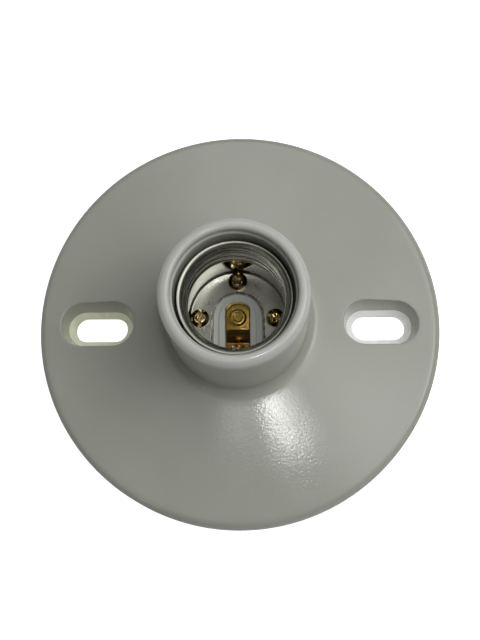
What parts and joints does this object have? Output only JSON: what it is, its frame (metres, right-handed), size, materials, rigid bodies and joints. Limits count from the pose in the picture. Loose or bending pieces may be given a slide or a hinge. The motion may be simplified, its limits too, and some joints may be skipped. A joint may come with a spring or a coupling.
{
  "type": "keyless lamp holder",
  "caption": "Round surface-mounted lamp holder: moulded dished base with two slots, a collar, and an Edison screw shell with a centre contact.",
  "frame": {"origin": "on the lamp axis, in the plane of the back rim, which lies on the wall or outlet box", "axes": "+Z along the lamp axis out of the socket; +X along the line through the two fixing slots; the contact strip's foot lies towards -Y"},
  "size_m": [0.114, 0.114, 0.048],
  "materials": {
    "moulded_body": "glossy",
    "shell_sheet": "bright",
    "contact_brass": "bright",
    "screw_plate": "yellow zinc plated",
    "nut_steel": "zinc plated",
    "terminal_brass": "satin",
    "terminal_nickel": "nickel plated",
    "terminal_gilt": "satin"
  },
  "bodies": {
    "holder": {"body": "moulded_body", "screw_shell": "shell_sheet", "centre_contact": "contact_brass", "shell_screw_left": "screw_plate", "shell_screw_right": "screw_plate", "shell_screw_top": "screw_plate", "contact_screw": "screw_plate", "shell_nut_left": "nut_steel", "shell_nut_right": "nut_steel", "neutral_terminal_plate": "terminal_brass", "line_terminal_plate": "terminal_brass"},
    "neutral_washer": {"neutral_terminal_washer": "terminal_nickel"},
    "neutral_screw": {"neutral_terminal_screw": "terminal_nickel"},
    "line_washer": {"line_terminal_washer": "terminal_gilt"},
    "line_screw": {"line_terminal_screw": "terminal_gilt"}
  },
  "joints": [
    {"name": "neutral_washer_slide", "type": "slide", "parent": "holder", "child": "neutral_washer", "axis": [0, 0, -1], "range_m": [0, 0.00175]},
    {"name": "neutral_screw_turn", "type": "hinge", "parent": "neutral_washer", "child": "neutral_screw", "pos_m": [0, 0.022, 0.0049], "axis": [0, 0, -1], "range_deg": [0, 900]},
    {"name": "line_washer_slide", "type": "slide", "parent": "holder", "child": "line_washer", "axis": [0, 0, -1], "range_m": [0, 0.00175]},
    {"name": "line_screw_turn", "type": "hinge", "parent": "line_washer", "child": "line_screw", "pos_m": [0, -0.022, 0.0049], "axis": [0, 0, -1], "range_deg": [0, 900]}
  ],
  "couplings": [
    {"joint": "neutral_screw_turn", "follows": "neutral_washer_slide", "rad_per_m": 8976},
    {"joint": "line_screw_turn", "follows": "line_washer_slide", "rad_per_m": 8976}
  ]
}
